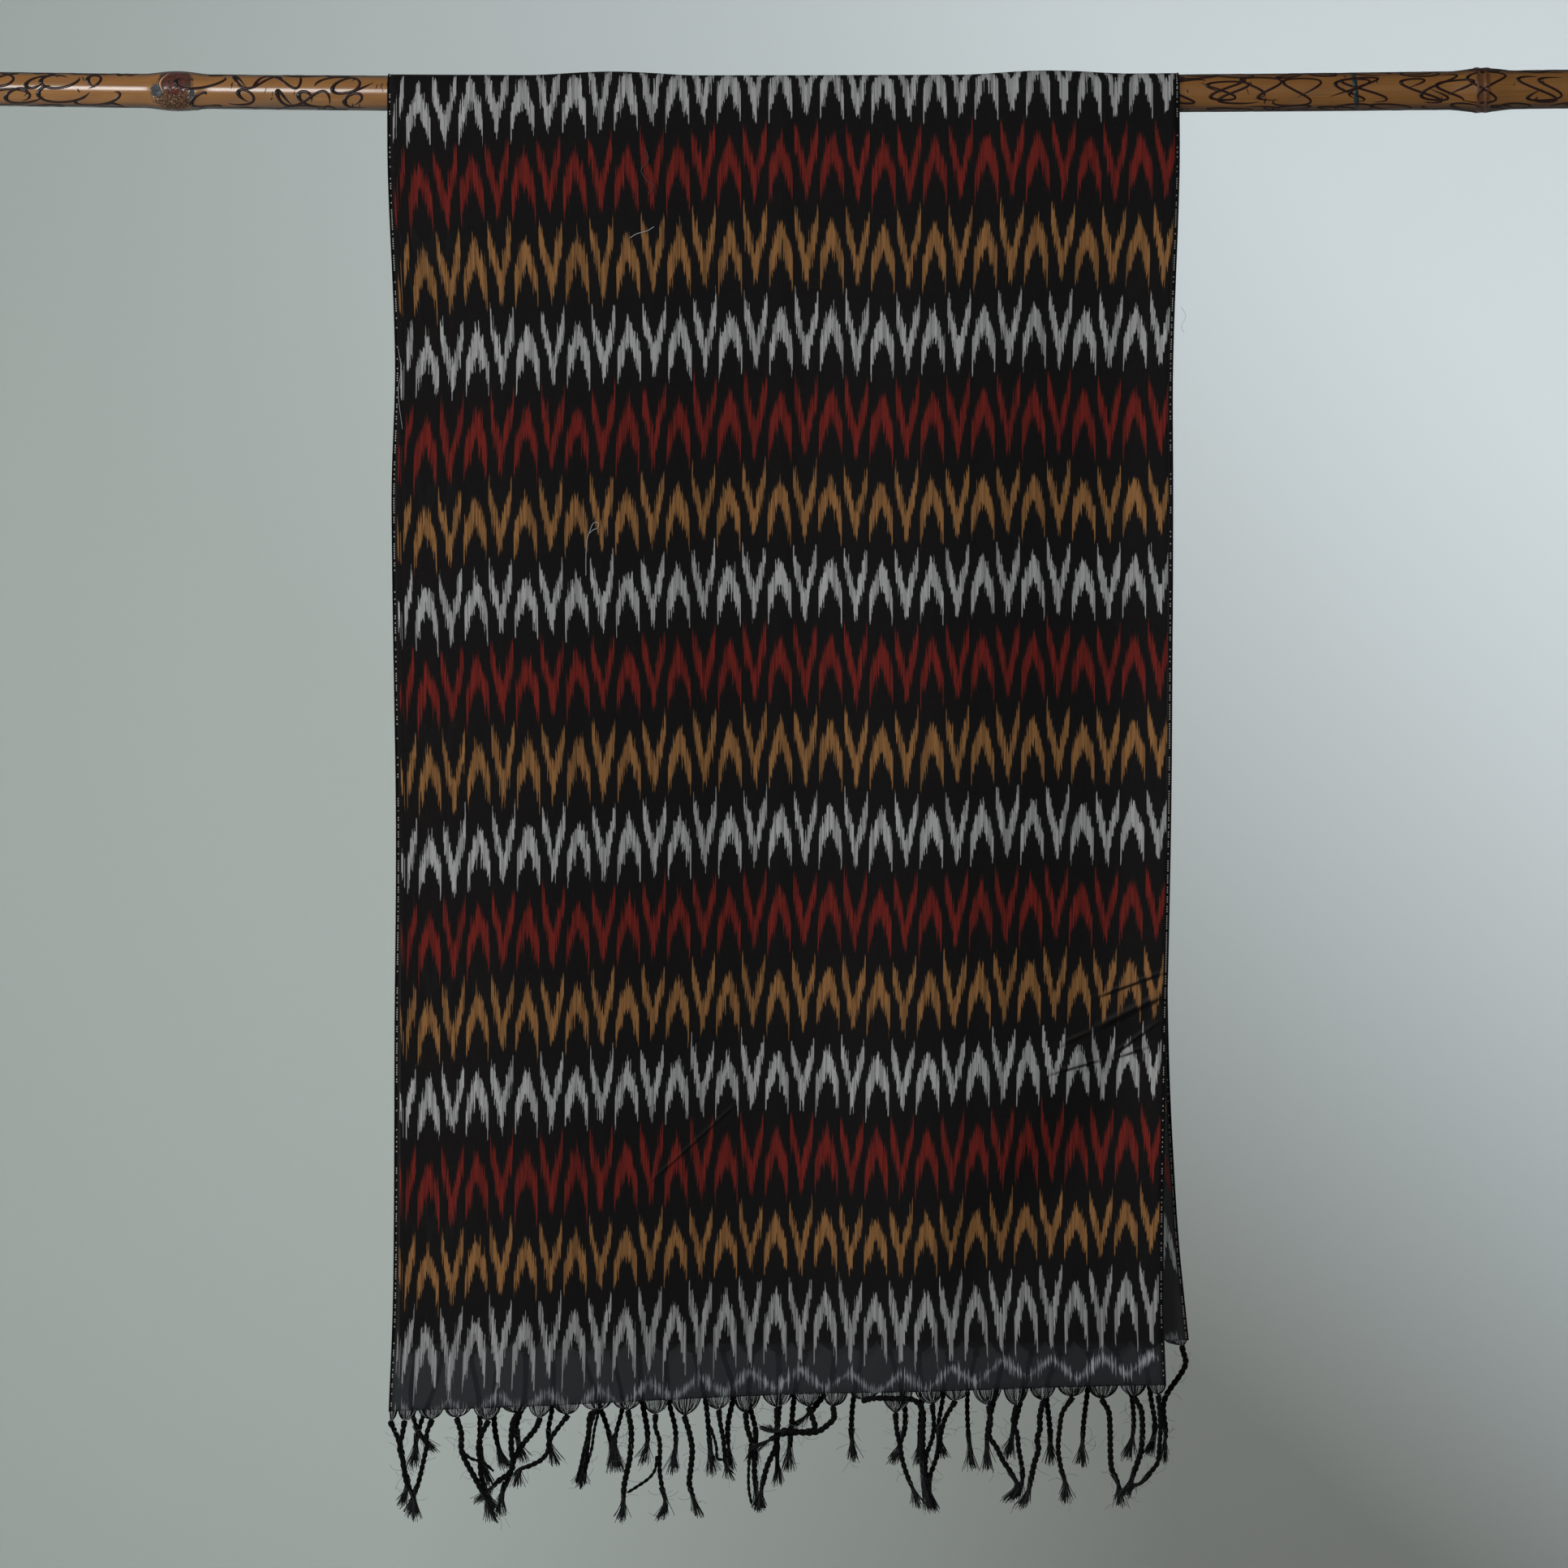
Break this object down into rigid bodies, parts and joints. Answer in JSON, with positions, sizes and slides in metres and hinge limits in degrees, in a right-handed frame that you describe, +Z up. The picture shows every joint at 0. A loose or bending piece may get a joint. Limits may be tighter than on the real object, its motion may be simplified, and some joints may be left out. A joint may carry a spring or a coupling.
{
  "type": "ikat stole on a bamboo rod",
  "caption": "Cotton ikat stole with knotted fringes, folded over a bamboo rod so that both falls hang flat, for display or wear.",
  "frame": {"origin": "on the rod's axis, at the middle of its length, where the rod is held up", "axes": "+X along the rod to the viewer's right, +Y from the front fall towards the back fall, +Z up"},
  "size_m": [1.18, 0.0491, 1.0286],
  "materials": {
    "bamboo": "lacquered",
    "cloth": "plain cotton weave",
    "fringe": "twisted cotton"
  },
  "bodies": {
    "root": {"rod": "bamboo", "rod_turn": "cloth", "front_fall": "cloth", "back_fall": "cloth", "front_fringe": "fringe", "back_fringe": "fringe"}
  },
  "joints": []
}
